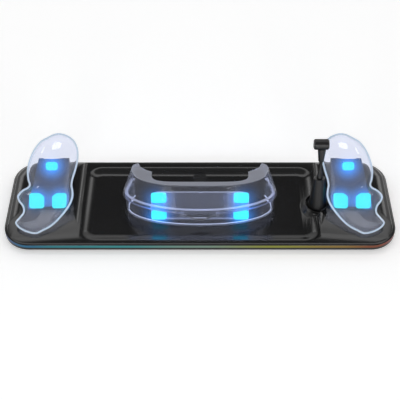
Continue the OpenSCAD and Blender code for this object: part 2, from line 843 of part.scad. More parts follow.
module cradle_solid() {
    n = 34;
    m = 16;
    stations = cradle_stations(n);
    outer = [for (u = stations) each cradle_ring(cradle_row(u, 0), 0, m)];
    inner = [for (u = stations) each cradle_ring(cradle_row(u, clear_t), clear_t, m)];
    half = (n + 1) * (m + 1);
    edge = [
        for (i = [0:n - 1]) let (
            a = i * (m + 1),
            b = a + m + 1,
            c = a + half,
            d = b + half,
            e = a + m,
            f = b + m,
            g = e + half,
            h = f + half
        ) each [[a, b, c], [b, d, c], [e, g, f], [f, g, h]]
    ];
    last = n * (m + 1);
    ends = [
        [0, half, m], [half, half + m, m],
        [last, last + m, half + last], [half + last, last + m, half + last + m]
    ];
    polyhedron(
        concat(outer, inner),
        concat(
            skin(n, m, 0, false), skin(n, m, half, true), fan(0, m, false), fan(last, m, true),
            fan(half, m, true), fan(half + last, m, false), edge, ends
        )
    );
}

module left_cradle() {
    color([0.75, 0.8, 0.9, 0.35]) difference() {
        cradle_solid();
        on_slope() translate([-far / 4, 0, -far / 4]) cube([far / 2, slope_len, far / 4 + pad_out]);
    }
}

module right_cradle() {
    mirror([1, 0, 0]) left_cradle();
}

// Headset rest: heights
waist_z = tray_h + rest_waist;
rest_top = tray_h + rest_h;
clip_lean = rest_lean / (rest_h - rest_waist);
// How far each arm turns inwards
arm_a = 24;

// Plan curve with a front bow and two arms that draw in behind it, from the left arm's end to the right's
function bow(half, middle, front, arm, power) = [
    for (i = [0:40]) let (
        k = (i - 20) / 20,
        a = abs(k) > 0.8 ? (abs(k) - 0.8) / 0.2 * arm_a : 0,
        f = abs(k) > 0.8 ? 90 : 90 * abs(k) / 0.8,
        x = abs(k) > 0.8 ? half * cos(a) : half * pow(sin(f), 2 / power),
        y = abs(k) > 0.8 ? middle + arm * sin(a) : middle - (middle - front) * pow(cos(f), 2 / power)
    ) [sign(k) * x, y]
];

rest_front = rest_in - base_d / 2;
low_front = rest_front + 0.5;
top_front = rest_front + rest_lean;
waist_bow = bow(rest_half, rest_front + waist_bow_d, rest_front, waist_arm, 2);
low_bow = bow(rest_half - rest_step, low_front + low_bow_d, low_front, low_arm, 2.15);
top_bow = bow(rest_top_half, top_front + top_bow_d, top_front, top_arm, 2.8);
// Back edge of the top flange, and the corner where its arms begin
flange_half = rest_top_half - flange_side;
flange_back = top_front + flange_side;
flange_bow = bow(flange_half, flange_back, top_front + flange_w, 0, 5);

// Moves each point of a bow to the inside by d
function inset_bow(pts, d) = [
    for (i = [0:len(pts) - 1]) let (
        a = pts[max(i - 1, 0)],
        b = pts[min(i + 1, len(pts) - 1)],
        v = (b - a) / norm(b - a)
    ) pts[i] + d * [-v[1], v[0]]
];

// The flange's arms run from the bow's corner to the arm's tip
function flange_points() = let (n = len(top_bow) - 1, tip_in = inset_bow(top_bow, 2.4)) [
    for (i = [0:n]) let (
        k = abs(i - n / 2) / (n / 2),
        g = max((k - 0.8) / 0.2, 0),
        corner = [sign(i - n / 2) * flange_half, flange_back]
    ) g > 0 ? corner + (tip_in[i] - corner) * g : flange_bow[i]
];

// Joins a closed section, given as lists of matching points, into one solid
module sweep_lists(lists) {
    k = len(lists);
    n = len(lists[0]) - 1;
    pts = [for (i = [0:n]) for (l = lists) l[i]];
    sides = [
        for (i = [0:n - 1]) for (j = [0:k - 1]) let (
            a = i * k + j,
            b = i * k + (j + 1) % k,
            c = a + k,
            d = b + k
        ) each [[a, c, b], [b, c, d]]
    ];
    cap = [for (j = [0:k - 1]) j];
    polyhedron(pts, concat(sides, [cap, [for (j = [k - 1:-1:0]) n * k + j]]));
}

function lift(pts, z) = [for (p = pts) [p[0], p[1], z]];

// Points between two lists of points, a share f of the way
function mixed(a, b, f) = [for (i = [0:len(a) - 1]) a[i] + (b[i] - a[i]) * f];

module rest_upper_band() {
    inner_waist = inset_bow(waist_bow, rest_t);
    ledge = inset_bow(waist_bow, rest_step + rest_t + 0.6);
    inner_top = inset_bow(top_bow, rest_t);
    back = flange_points();
    lean = rest_t / (rest_top - waist_z);
    color([0.75, 0.8, 0.9, 0.35]) sweep_lists([
        lift(waist_bow, waist_z),
        lift(top_bow, rest_top),
        lift(back, rest_top),
        lift(back, rest_top - rest_t),
        lift(mixed(inner_top, inner_waist, lean), rest_top - rest_t),
        lift(mixed(inner_waist, inner_top, lean), waist_z + rest_t),
        lift(ledge, waist_z + rest_t),
        lift(ledge, waist_z)
    ]);
}

module rest_lower_band() {
    inner = inset_bow(low_bow, rest_t);
    lip = inset_bow(low_bow, rest_t + foot_lip);
    n = len(low_bow) - 1;
    notch_r = (pow(notch_half, 2) + pow(notch_d, 2)) / (2 * notch_d);
    color([0.75, 0.8, 0.9, 0.35]) {
        difference() {
            union() {
                translate([0, 0, tray_h]) linear_extrude(rest_waist)
                    polygon(concat(low_bow, [for (i = [n:-1:0]) inner[i]]));
                translate([0, 0, tray_h]) linear_extrude(foot_lip_t)
                    polygon(concat(low_bow, [for (i = [n:-1:0]) lip[i]]));
            }
            translate([0, 0, waist_z - notch_d + notch_r]) rotate([90, 0, 0])
                cylinder(r = notch_r, h = far, $fn = 96);
        }
        for (s = [-1, 1]) translate([s * (notch_half + 0.5 + clip_w / 2), 0, waist_z])
            rotate([90, 0, 90]) linear_extrude(clip_w, center = true) polygon([
                [rest_front - 1, -3], [low_front + 1.3, -3], [low_front + 1.3, -0.7], [rest_front - 0.1, -0.7],
                [rest_front - 0.1 + 5 * clip_lean, 5], [rest_front - 1 + 5 * clip_lean, 5]
            ]);
    }
}

// Places a piece on the plate: x to the right, y up the plate, z out of its front
module on_plate() {
    translate([0, rest_front + plate_gap, tray_h]) rotate([90 - plate_a, 0, 0]) children();
}

module rest_plate() {
    color([0.75, 0.8, 0.9, 0.35]) difference() {
        on_plate() translate([0, -4, -rest_t]) difference() {
            rounded_plate(plate_w, plate_l + 4, 8, rest_t);
            translate([0, plate_l + 4, -1]) rotate([0, 0, 45]) cube([1.6, 1.6, 2 * rest_t + 2], center = true);
        }
        translate([-far / 2, -far / 2, tray_h - far]) cube([far, far, far]);
    }
}

module rest_pad(side, y, l) {
    color([0.35, 0.95, 1]) on_plate() translate([side * (plate_w - rest_pad_w) / 2, y, 0])
        rounded_plate(rest_pad_w, l, pad_r, rest_pad_t);
}

module rest_pad_left_top() {
    rest_pad(-1, plate_l - rest_pad_l - 0.3, rest_pad_l);
}

module rest_pad_left_low() {
    rest_pad(-1, 0.8, rest_pad_low_l);
}

module rest_pad_right_top() {
    rest_pad(1, plate_l - rest_pad_l - 0.3, rest_pad_l);
}

module rest_pad_right_low() {
    rest_pad(1, 0.8, rest_pad_low_l);
}

module touch_key() {
    low = tray_h - tray_t;
    color([0.08, 0.08, 0.085]) translate([0, base_d / 2 - key_back, 0]) {
        translate([0, 0, low]) cylinder(r = key_r, h = tray_t + key_out);
        translate([0, 0, low - 0.8]) cylinder(r = key_r + 1.4, h = 0.8);
    }
}

// Outline of the plug's head, turned about its own axis
module plug_head() {
    c = 1.2;
    color([0.07, 0.07, 0.075]) difference() {
        on_sleeve_axis(stem_at + stem_l + head_r) rotate([0, 90, 0]) translate([0, 0, -head_l / 2 - 1])
            rotate_extrude() polygon([
                [0, 0], [head_r - c, 0], [head_r, c], [head_r, head_l - c], [head_r - c, head_l], [0, head_l]
            ]);
        on_sleeve_axis() cylinder(r = stem_r1 + slip, h = stem_at + stem_l + 1);
        contacts_at() cylinder(d = contact_d, h = 3);
    }
}

// Two contact pins in the head's left end
module contacts_at() {
    on_sleeve_axis(stem_at + stem_l + head_r) rotate([0, 90, 0]) for (s = [-1, 1])
        translate([s * 1.9, 0, -head_l / 2 - 1.6]) children();
}

module plug_contacts() {
    color([0.85, 0.86, 0.88]) contacts_at() cylinder(d = contact_d, h = 2.6);
}

module plug_stem() {
    color([0.05, 0.05, 0.055]) on_sleeve_axis() difference() {
        union() {
            translate([0, 0, stem_at]) cylinder(r1 = stem_r0, r2 = stem_r1, h = stem_l - 1);
            translate([0, 0, stem_at + stem_l - 1]) cylinder(r = stem_r1, h = 2);
            translate([0, 0, 18]) cylinder(r = bore_r - slip, h = sleeve_l - 18);
            translate([0, 0, sleeve_l]) cylinder(r1 = bore_r - slip, r2 = lead_r + 0.3, h = 12);
            translate([0, 0, sleeve_l + 12]) cylinder(r = lead_r + 0.3, h = stem_at - sleeve_l - 11.5);
        }
        translate([0, 0, -1]) cylinder(r = lead_r, h = stem_at + 8);
    }
}

module plug_lead() {
    color([0.1, 0.1, 0.1]) difference() {
        on_sleeve_axis(-10) cylinder(r = lead_r, h = stem_at + 17);
        translate([-far / 2, -far / 2, board_z + board_t - far]) cube([far, far, far]);
    }
}

module plug_sleeve() {
    color([0.04, 0.04, 0.045]) difference() {
        on_sleeve_axis(-5) union() {
            lip = 1.2;
            slope = (sleeve_r0 - sleeve_r1) / sleeve_l;
            cylinder(r1 = sleeve_r0 + 5 * slope, r2 = sleeve_r1 + lip * slope, h = sleeve_l + 5 - lip);
            translate([0, 0, sleeve_l + 5 - lip]) rotate_extrude() polygon([
                [0, 0], [sleeve_r1 + lip * slope, 0], [sleeve_r1 - 0.2, lip - 0.3], [sleeve_r1 - 0.6, lip], [0, lip]
            ]);
        }
        on_sleeve_axis(-10) cylinder(r = bore_r, h = far);
        translate([-far / 2, -far / 2, deck_h - far]) cube([far, far, far]);
    }
}

// A small clip beside the sleeve's foot, held by one rivet
module sleeve_clip() {
    color([0.1, 0.1, 0.11]) difference() {
        intersection() {
            translate([sleeve_x, sleeve_y, deck_h]) rotate([0, 0, clip_a]) {
                translate([-8, -pocket_r, 0]) cube([16, pocket_r - sleeve_r0 + 0.8, clip_h]);
                translate([5, -(pocket_r + sleeve_r0) / 2, 0]) cylinder(r = 1.1, h = clip_h + 0.7);
            }
            translate([sleeve_x, sleeve_y, deck_h]) cylinder(r = pocket_r - slip, h = 10);
        }
        on_sleeve_axis(-5) cylinder(
            r1 = sleeve_r0 + 5 * (sleeve_r0 - sleeve_r1) / sleeve_l + slip, r2 = sleeve_r1 + slip, h = sleeve_l + 5
        );
    }
}

module rubber_feet() {
    color([0.12, 0.12, 0.12]) for (p = foot_at) translate([p[0], p[1], 0]) {
        cylinder(r1 = foot_r - 0.4, r2 = foot_r, h = 0.4);
        translate([0, 0, 0.4]) cylinder(r = foot_r, h = foot_h + foot_in - 0.4);
    }
}

module cover_screws() {
    color([0.6, 0.61, 0.63]) for (p = post_at) translate([p[0], p[1], inside_h - screw_head_h]) difference() {
        union() {
            cylinder(r = screw_head_r, h = screw_head_h);
            cylinder(r = screw_r, h = screw_head_h + under_deck - inside_h);
        }
        for (a = [0, 90]) rotate([0, 0, a]) translate([-1.4, -0.3, -1]) cube([2.8, 0.6, 1.6]);
    }
}

bottom_cover();
top_cover();
light_band();
lamp_circuit();
main_board();
plug_board();
port_board();
power_socket();
ballast_plate();
ribbon_cable();
left_saddle();
right_saddle();
left_charge_board();
right_charge_board();
left_pad_top();
left_pad_outer();
left_pad_inner();
right_pad_top();
right_pad_outer();
right_pad_inner();
left_cradle();
right_cradle();
rest_upper_band();
rest_lower_band();
rest_plate();
rest_pad_left_top();
rest_pad_left_low();
rest_pad_right_top();
rest_pad_right_low();
touch_key();
plug_head();
plug_contacts();
plug_stem();
plug_lead();
plug_sleeve();
sleeve_clip();
rubber_feet();
cover_screws();
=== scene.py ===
"""Looks of a wide charging dock with two clear cradles, a clear headset rest and a plug in a sleeve."""

import math

import bmesh
import bpy
from mathutils import Euler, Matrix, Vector


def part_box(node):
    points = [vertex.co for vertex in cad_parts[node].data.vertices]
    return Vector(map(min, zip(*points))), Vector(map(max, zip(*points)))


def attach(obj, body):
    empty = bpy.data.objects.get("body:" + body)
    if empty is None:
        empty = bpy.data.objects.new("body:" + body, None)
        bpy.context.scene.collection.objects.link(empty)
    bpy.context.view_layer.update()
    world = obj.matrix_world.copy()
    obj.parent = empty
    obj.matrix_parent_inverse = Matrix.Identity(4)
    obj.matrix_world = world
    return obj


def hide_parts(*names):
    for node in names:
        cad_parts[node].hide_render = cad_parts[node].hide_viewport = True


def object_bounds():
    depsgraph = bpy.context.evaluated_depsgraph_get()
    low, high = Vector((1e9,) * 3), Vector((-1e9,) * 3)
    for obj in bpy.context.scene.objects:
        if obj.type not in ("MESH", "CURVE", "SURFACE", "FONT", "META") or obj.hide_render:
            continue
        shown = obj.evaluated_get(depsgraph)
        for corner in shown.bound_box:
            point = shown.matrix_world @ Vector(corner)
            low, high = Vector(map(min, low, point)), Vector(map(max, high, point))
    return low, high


bl_info = {
    "name": "Charging dock",
    "version": (1, 0, 0),
    "blender": (4, 5, 0),
    "location": "3D View > Sidebar > Dock",
    "description": "Builds the finished look of a wide charging dock",
    "category": "Object",
}

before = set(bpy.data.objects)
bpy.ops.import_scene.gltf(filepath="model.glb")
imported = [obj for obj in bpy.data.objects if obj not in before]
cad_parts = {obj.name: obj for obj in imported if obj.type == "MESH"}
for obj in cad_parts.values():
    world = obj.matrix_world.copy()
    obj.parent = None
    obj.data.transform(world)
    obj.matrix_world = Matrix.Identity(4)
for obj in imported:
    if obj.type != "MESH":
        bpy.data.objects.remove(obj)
CAD_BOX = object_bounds()

MM = 0.001
BODY = "root"
SIDES = (("left", -1), ("right", 1))
PAD_NODES = {
    "left": ("left_pad_top", "left_pad_outer", "left_pad_inner"),
    "right": ("right_pad_top", "right_pad_outer", "right_pad_inner"),
    "rest": ("rest_pad_left_top", "rest_pad_left_low", "rest_pad_right_top", "rest_pad_right_low"),
}

# Clear cradles, in millimetres, in the place of the left one. A point over the saddle's slope is given
# by its distance up the slope and its distance out of it.
SADDLE_X = 166.5
SADDLE_FRONT = -18.0
SLOPE_LOW = 17.0
SLOPE = math.radians(44)
SLOPE_LENGTH = 54.0
PAD_OUT = 1.5
CRADLE_SHIFT = 0.5
CRADLE_X = SADDLE_X + CRADLE_SHIFT
RIM_HEIGHT = 14.0
DECK = 10.0
MOUND = 16.0
BROW = -23.0
RAMP_RUN = 31
RAMP = (MOUND - DECK) / RAMP_RUN
TOE_RIM = 4.0
# The rim's fall towards the toe (1 is straight), and how much further the back runs than the rim
TOE_FALL = 1.15
TOE_STRETCH = 1.25
# Gap between the toe and the mound, and the depth that the pads' flat cuts off the back
TOE_GAP = 0.5
BITE = 0.8
# Beyond these distances up the slope the bowl rounds off to its head and its toe
HEAD_ROUND = 56
TOE_ROUND = -13
END_PAST = 0.3
LEAST_DEPTH = 0.05
# Fullness of the bowl's cross-section: 1 is an ellipse, less is fuller
FULLNESS = 0.77
LONG_STEPS = 120
CROSS_STEPS = 56
# Distance up the slope, reach outwards and reach inwards, from the toe to the head
CRADLE_ROWS = (
    (-25, 12, -11), (-24.7, 15, -9.6), (-23.6, 19.5, -7), (-21.8, 24.5, -3.6), (-18, 31, 4),
    (-13, 34.4, 10.5), (-8, 30.5, 15.5), (-3, 26.5, 20), (3, 27.5, 24.3), (9, 31.8, 27.2),
    (15, 32.7, 28.6), (21, 27.3, 28.2), (24, 21.8, 27.6), (27, 20.1, 27.4), (33, 21.8, 28.5),
    (43, 22.3, 31.6), (54, 19.8, 33.9), (65, 15, 33.8), (74, 8, 30.4), (79, -0.5, 25.2),
    (81.6, -5.6, 20.1), (82.7, -9.2, 16.2), (83, -12, 13.1),
)
TOE_END = CRADLE_ROWS[0][0]
HEAD_END = CRADLE_ROWS[-1][0]

# Copies of CAD nodes, in metres: the distance at which points merge, and the smallest edge that stays
MERGE = 2e-6
LEAST_EDGE = 1e-6
FLAT_ANGLE = math.radians(0.5)
EDGE_ANGLE = math.radians(35)
RIM_ANGLE = math.radians(50)
# Material places: the cut edges, and the headset rest's flange
EDGE = 1
FLANGE = 2
# How level a face of the rest's flange or foot must be, by the height of its normal; the foot's height
FLANGE_LEVEL = 0.85
FOOT_LEVEL = 0.8
FOOT_HEIGHT = 0.0015

# Clear plastic: its roughness, the share of light that a cut edge scatters, and its shadow's tint
CLEAR_ROUGHNESS = 0.03
RIM_HAZE = 0.6
SHADOW_TINT = (0.88, 0.9, 0.94)

# How steeply a painted halo falls off within its reach; the halo is the pads' light painted as a glow on
# surfaces near them
PAINTED_HALO_FALL = 2.2

# Light band: strength of its glow, and its colours by their share of the dock's width
BAND_GLOW = 0.5
BAND_COLOURS = (
    (0.00, (0.002, 0.03, 0.22)),
    (0.06, (0.010, 0.20, 0.40)),
    (0.14, (0.012, 0.31, 0.37)),
    (0.29, (0.026, 0.38, 0.40)),
    (0.50, (0.25, 0.41, 0.32)),
    (0.68, (0.38, 0.40, 0.036)),
    (0.85, (0.39, 0.24, 0.03)),
    (0.94, (0.32, 0.07, 0.015)),
    (1.00, (0.26, 0.006, 0.012)),
)

# Stage, in metres and watts. The lift is the floor's own light where the camera sees it.
FLOOR_HALF = 4
FLOOR_LIFT = 0.33
CAMERA_AIM = Vector((0, 0.0122, 0))
CENTRE = (0, 0, 0)
# Name, place, aim, width and height, power and shape of each lamp
LAMPS = (
    ("Overhead softbox", (0, 0.55, 1.15), CENTRE, (1.5, 0.35), 3.2, "RECTANGLE"),
    ("Left softbox", (-1.1, -0.35, 0.9), CENTRE, (0.6, 0.9), 1.5, "RECTANGLE"),
    ("Right softbox", (1.1, -0.35, 0.9), CENTRE, (0.6, 0.9), 1.5, "RECTANGLE"),
    ("Rear lamp left", (-0.8, 1.05, 0.8), CENTRE, (0.5, 0.3), 1.1, "RECTANGLE"),
    ("Round lamp left", (-0.262, -0.84, 0.28), (-0.16, 0, 0.07), (0.16, 0.38), 1.3, "ELLIPSE"),
    ("Rear lamp right", (0.8, 1.05, 0.8), CENTRE, (0.5, 0.3), 1.1, "RECTANGLE"),
    ("Round lamp right", (0.262, -0.84, 0.28), (0.16, 0, 0.07), (0.16, 0.38), 1.3, "ELLIPSE"),
)
# The room's light by the height of its direction, from level to straight up, and by how far it lies back
ROOM_LEVELS = (
    (0.0, 1.0), (0.05, 1.2), (0.28, 1.5), (0.56, 1.5), (0.65, 0.2), (0.76, 0.2), (0.9, 0.5), (1.0, 0.6),
)
ROOM_FRONT = -0.9
ROOM_BACK = 0.1
FRONT_SHARE = 0.3


class DockColours(bpy.types.PropertyGroup):
    """Colours of the dock's pieces"""

    shell: bpy.props.FloatVectorProperty(
        name="Shell", description="Colour of the base's covers", subtype="COLOR", size=3,
        default=(0.005, 0.005, 0.0053), min=0, max=1,
    )
    saddle: bpy.props.FloatVectorProperty(
        name="Saddle", description="Colour of the two saddles", subtype="COLOR", size=3,
        default=(0.012, 0.022, 0.04), min=0, max=1,
    )
    clear: bpy.props.FloatVectorProperty(
        name="Clear plastic", description="Tint of the clear plastic", subtype="COLOR", size=3,
        default=(0.80, 0.83, 0.95), min=0, max=1,
    )
    pad: bpy.props.FloatVectorProperty(
        name="Pads", description="Light of the charging pads", subtype="COLOR", size=3,
        default=(0.02, 0.96, 1.0), min=0, max=1,
    )
    # Painted light: the halo colour is a glow painted into surfaces near the pads, standing in for the light
    # that they throw
    halo: bpy.props.FloatVectorProperty(
        name="Halo", description="Light that the pads throw on what is near them", subtype="COLOR", size=3,
        default=(0.02, 0.30, 1.0), min=0, max=1,
    )


class DockSizes(bpy.types.PropertyGroup):
    """Sizes of the looks"""

    clear_wall: bpy.props.FloatProperty(
        name="Clear wall", description="Thickness of a clear cradle's wall", unit="LENGTH", default=0.002,
        min=0.0015, max=0.003,
    )
    rim_round: bpy.props.FloatProperty(
        name="Rim rounding", description="Rounding of the clear cradles' rims", unit="LENGTH", default=0.0007,
        min=0.0002, max=0.001,
    )
    # Reach of the painted glow of the pads' light on nearby surfaces
    painted_halo_reach: bpy.props.FloatProperty(
        name="Halo reach", description="How far the pads' light reaches", unit="LENGTH", default=0.0155,
        min=0.005, max=0.04,
    )


class DockStage(bpy.types.PropertyGroup):
    """Camera and room"""

    elevation: bpy.props.FloatProperty(
        name="Elevation", description="Camera's height above the horizon", subtype="ANGLE",
        default=math.radians(46), min=0, max=math.radians(89),
    )
    distance: bpy.props.FloatProperty(
        name="Distance", description="Camera's distance from its aim point", unit="LENGTH", default=1.0308,
        min=0.4, max=4,
    )
    lens: bpy.props.FloatProperty(
        name="Lens", description="Camera's focal length in millimetres", default=80.96, min=20, max=200,
    )
    room: bpy.props.FloatProperty(
        name="Room light", description="Strength of the light that comes from all round", default=0.55,
        min=0, max=2,
    )


def colours():
    return bpy.context.scene.dock_colours


def sizes():
    return bpy.context.scene.dock_sizes


def stage_settings():
    return bpy.context.scene.dock_stage


def node_group(name, inputs, outputs):
    """A new shader node group; inputs and outputs are (name, socket type, default)."""
    group = bpy.data.node_groups.new(name, "ShaderNodeTree")
    for kind, rows in (("INPUT", inputs), ("OUTPUT", outputs)):
        for label, socket_type, default in rows:
            socket = group.interface.new_socket(label, in_out=kind, socket_type=socket_type)
            if default is not None:
                socket.default_value = default
    return group, group.nodes.new("NodeGroupInput"), group.nodes.new("NodeGroupOutput")


def math_node(tree, operation, *values):
    """Output of a new Math node; each value is a number or another node's output."""
    node = tree.nodes.new("ShaderNodeMath")
    node.operation = operation
    for socket, value in zip(node.inputs, values):
        if isinstance(value, bpy.types.NodeSocket):
            tree.links.new(value, socket)
        else:
            socket.default_value = value
    return node.outputs[0]


def ramp_node(tree, stops):
    """A new Color Ramp node; the stops are (position, colour)."""
    node = tree.nodes.new("ShaderNodeValToRGB")
    elements = node.color_ramp.elements
    while len(elements) < len(stops):
        elements.new(0.5)
    for element, (position, colour) in zip(elements, stops):
        element.position = position
        element.color = (*colour, 1)
    return node


def grain_group():
    """Fine grain of moulded plastic: a roughness that wanders a little, and a shallow height."""
    name = "Fine grain"
    if name in bpy.data.node_groups:
        return bpy.data.node_groups[name]
    group, source, sink = node_group(
        name,
        (
            ("Roughness", "NodeSocketFloat", 0.3), ("Wander", "NodeSocketFloat", 0.05),
            ("Scale", "NodeSocketFloat", 900.0),
        ),
        (("Roughness", "NodeSocketFloat", None), ("Height", "NodeSocketFloat", None)),
    )
    nodes, links = group.nodes, group.links
    where = nodes.new("ShaderNodeTexCoord")
    fine = nodes.new("ShaderNodeTexNoise")
    fine.inputs["Detail"].default_value = 2
    broad = nodes.new("ShaderNodeTexNoise")
    broad.inputs["Scale"].default_value = 18
    links.new(where.outputs["Object"], fine.inputs["Vector"])
    links.new(where.outputs["Object"], broad.inputs["Vector"])
    links.new(source.outputs["Scale"], fine.inputs["Scale"])
    centred = math_node(group, "SUBTRACT", broad.outputs["Fac"], 0.5)
    spread = math_node(group, "MULTIPLY_ADD", centred, source.outputs["Wander"], source.outputs["Roughness"])
    links.new(spread, sink.inputs["Roughness"])
    links.new(fine.outputs["Fac"], sink.inputs["Height"])
    return group


def painted_halo_group():
    """Adds to a light the painted glow that falls off with the distance from a pad's middle, standing in for
    the light that the pad throws.
    """
    name = "Pad halo"
    if name in bpy.data.node_groups:
        return bpy.data.node_groups[name]
    group, source, sink = node_group(
        name,
        (
            ("Light", "NodeSocketColor", (0, 0, 0, 1)), ("Colour", "NodeSocketColor", (0, 0.3, 1, 1)),
            ("Middle", "NodeSocketVector", (0, 0, 0)), ("Reach", "NodeSocketFloat", 0.02),
            ("Strength", "NodeSocketFloat", 1.0),
        ),
        (("Light", "NodeSocketColor", None),),
    )
    nodes, links = group.nodes, group.links
    where = nodes.new("ShaderNodeTexCoord")
    away = nodes.new("ShaderNodeVectorMath")
    away.operation = "DISTANCE"
    links.new(where.outputs["Object"], away.inputs[0])
    links.new(source.outputs["Middle"], away.inputs[1])
    share = math_node(group, "DIVIDE", away.outputs["Value"], source.outputs["Reach"])
    square = math_node(group, "POWER", share, 2)
    fall = math_node(group, "EXPONENT", math_node(group, "MULTIPLY", square, -PAINTED_HALO_FALL))
    tint = nodes.new("ShaderNodeVectorMath")
    tint.operation = "SCALE"
    links.new(source.outputs["Colour"], tint.inputs[0])
    links.new(math_node(group, "MULTIPLY", fall, source.outputs["Strength"]), tint.inputs["Scale"])
    total = nodes.new("ShaderNodeVectorMath")
    total.operation = "ADD"
    links.new(source.outputs["Light"], total.inputs[0])
    links.new(tint.outputs[0], total.inputs[1])
    links.new(total.outputs[0], sink.inputs["Light"])
    return group


def principled(name, colour, roughness, metallic=0.0, specular=0.5):
    """A new material and its main shader."""
    material = bpy.data.materials.new(name)
    material.use_nodes = True
    shader = material.node_tree.nodes["Principled BSDF"]
    shader.inputs["Base Color"].default_value = (*colour, 1)
    shader.inputs["Roughness"].default_value = roughness
    shader.inputs["Metallic"].default_value = metallic
    shader.inputs["Specular IOR Level"].default_value = specular
    return material, shader


def grained(name, colour, roughness, metallic=0.0, specular=0.5, wander=0.06, scale=1200, depth=0.00001):
    """A new material with fine grain, and its main shader; the grain's depth is in metres."""
    material, shader = principled(name, colour, roughness, metallic, specular)
    nodes, links = material.node_tree.nodes, material.node_tree.links
    grain = nodes.new("ShaderNodeGroup")
    grain.node_tree = grain_group()
    grain.inputs["Roughness"].default_value = roughness
    grain.inputs["Wander"].default_value = wander
    grain.inputs["Scale"].default_value = scale
    bump = nodes.new("ShaderNodeBump")
    bump.inputs["Distance"].default_value = depth
    bump.inputs["Strength"].default_value = 0.5
    links.new(grain.outputs["Roughness"], shader.inputs["Roughness"])
    links.new(grain.outputs["Height"], bump.inputs["Height"])
    links.new(bump.outputs["Normal"], shader.inputs["Normal"])
    return material, shader


def plain(name, colour, roughness, **grain):
    """A grained material of one colour."""
    return grained(name, colour, roughness, **grain)[0]


def add_painted_halos(material, shader, middles, strength):
    """The light of the pads at those middles, painted as a glow into the emission of a material near them."""
    nodes, links = material.node_tree.nodes, material.node_tree.links
    last = None
    for middle in middles:
        halo = nodes.new("ShaderNodeGroup")
        halo.node_tree = painted_halo_group()
        halo.inputs["Colour"].default_value = (*colours().halo, 1)
        halo.inputs["Middle"].default_value = middle
        halo.inputs["Reach"].default_value = sizes().painted_halo_reach
        halo.inputs["Strength"].default_value = strength
        if last:
            links.new(last.outputs["Light"], halo.inputs["Light"])
        last = halo
    links.new(last.outputs["Light"], shader.inputs["Emission Color"])
    shader.inputs["Emission Strength"].default_value = 1.0


def let_light_through(material, shader):
    """Lamps shine through the clear plastic, which leaves only a faint shadow."""
    nodes, links = material.node_tree.nodes, material.node_tree.links
    path = nodes.new("ShaderNodeLightPath")
    clear = nodes.new("ShaderNodeBsdfTransparent")
    clear.inputs["Color"].default_value = (*SHADOW_TINT, 1)
    mix = nodes.new("ShaderNodeMixShader")
    links.new(path.outputs["Is Shadow Ray"], mix.inputs["Fac"])
    links.new(shader.outputs["BSDF"], mix.inputs[1])
    links.new(clear.outputs["BSDF"], mix.inputs[2])
    links.new(mix.outputs["Shader"], nodes["Material Output"].inputs["Surface"])


def clear_plastic(name, haze, ior=1.3):
    """Clear plastic and its main shader; the haze is the share of light that it scatters."""
    material, shader = principled(name, colours().clear, CLEAR_ROUGHNESS)
    shader.inputs["Transmission Weight"].default_value = 1 - haze
    shader.inputs["IOR"].default_value = ior
    let_light_through(material, shader)
    return material, shader


def clear_plastic_with_painted_glow(name, haze, middles, strength, ior=1.3):
    """Clear plastic with the light of the pads at those middles painted on as a glow."""
    material, shader = clear_plastic(name, haze, ior)
    add_painted_halos(material, shader, middles, strength)
    return material


def clear_rim_with_painted_glow(name, tint, glow):
    """Cut edge of a clear piece; the light that it gathers is painted on as a glow."""
    material, shader = clear_plastic(name, RIM_HAZE)
    shader.inputs["Emission Color"].default_value = (*tint, 1)
    shader.inputs["Emission Strength"].default_value = glow
    return material


def place(mesh_object, materials):
    """Gives a piece its materials and its body; its faces keep their material places."""
    mesh = mesh_object.data
    indices = [polygon.material_index for polygon in mesh.polygons]
    mesh.materials.clear()
    for material in materials:
        mesh.materials.append(material)
    mesh.polygons.foreach_set("material_index", indices)
    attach(mesh_object, BODY)


def dress(node, name, materials, smooth=30, round_edges=0.0, segments=2, choose=None):
    """A smooth copy of a CAD node that stands for it, with its sharp edges rounded if asked.

    The second material covers the rounded edges; choose gives the material place of each face.
    """
    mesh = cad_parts[node].data.copy()
    mesh.name = name
    shape = bmesh.new()
    shape.from_mesh(mesh)
    bmesh.ops.remove_doubles(shape, verts=shape.verts, dist=MERGE)
    bmesh.ops.dissolve_degenerate(shape, dist=LEAST_EDGE, edges=shape.edges)
    if round_edges:
        bmesh.ops.dissolve_limit(
            shape, angle_limit=FLAT_ANGLE, verts=shape.verts, edges=shape.edges,
            use_dissolve_boundaries=False,
        )
    shape.to_mesh(mesh)
    shape.free()
    mesh.materials.clear()
    for polygon in mesh.polygons:
        polygon.use_smooth = True
        polygon.material_index = choose(polygon) if choose else 0
    mesh.set_sharp_from_angle(angle=math.radians(smooth))
    piece = bpy.data.objects.new(name, mesh)
    bpy.context.scene.collection.objects.link(piece)
    if round_edges:
        bevel = piece.modifiers.new("Rounded edges", "BEVEL")
        bevel.width = round_edges
        bevel.segments = segments
        bevel.limit_method = "ANGLE"
        bevel.angle_limit = EDGE_ANGLE
        bevel.use_clamp_overlap = True
        bevel.harden_normals = True
        bevel.material = EDGE if len(materials) > EDGE else -1
    weigh = piece.modifiers.new("Even normals", "WEIGHTED_NORMAL")
    weigh.keep_sharp = True
    place(piece, materials)
    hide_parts(node)


def pad_middles(group):
    """Middles of a group's pads, in metres."""
    boxes = [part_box(node) for node in PAD_NODES[group]]
    return [tuple((low[i] + high[i]) / 2 for i in range(3)) for low, high in boxes]


def smooth_between(a, b, c, d, f):
    """Value at a share f of the way from b to c, on a smooth curve that a and d lead into."""
    return 0.5 * (
        2 * b + (c - a) * f + (2 * a - 5 * b + 4 * c - d) * f * f + (3 * b - a - 3 * c + d) * f ** 3
    )


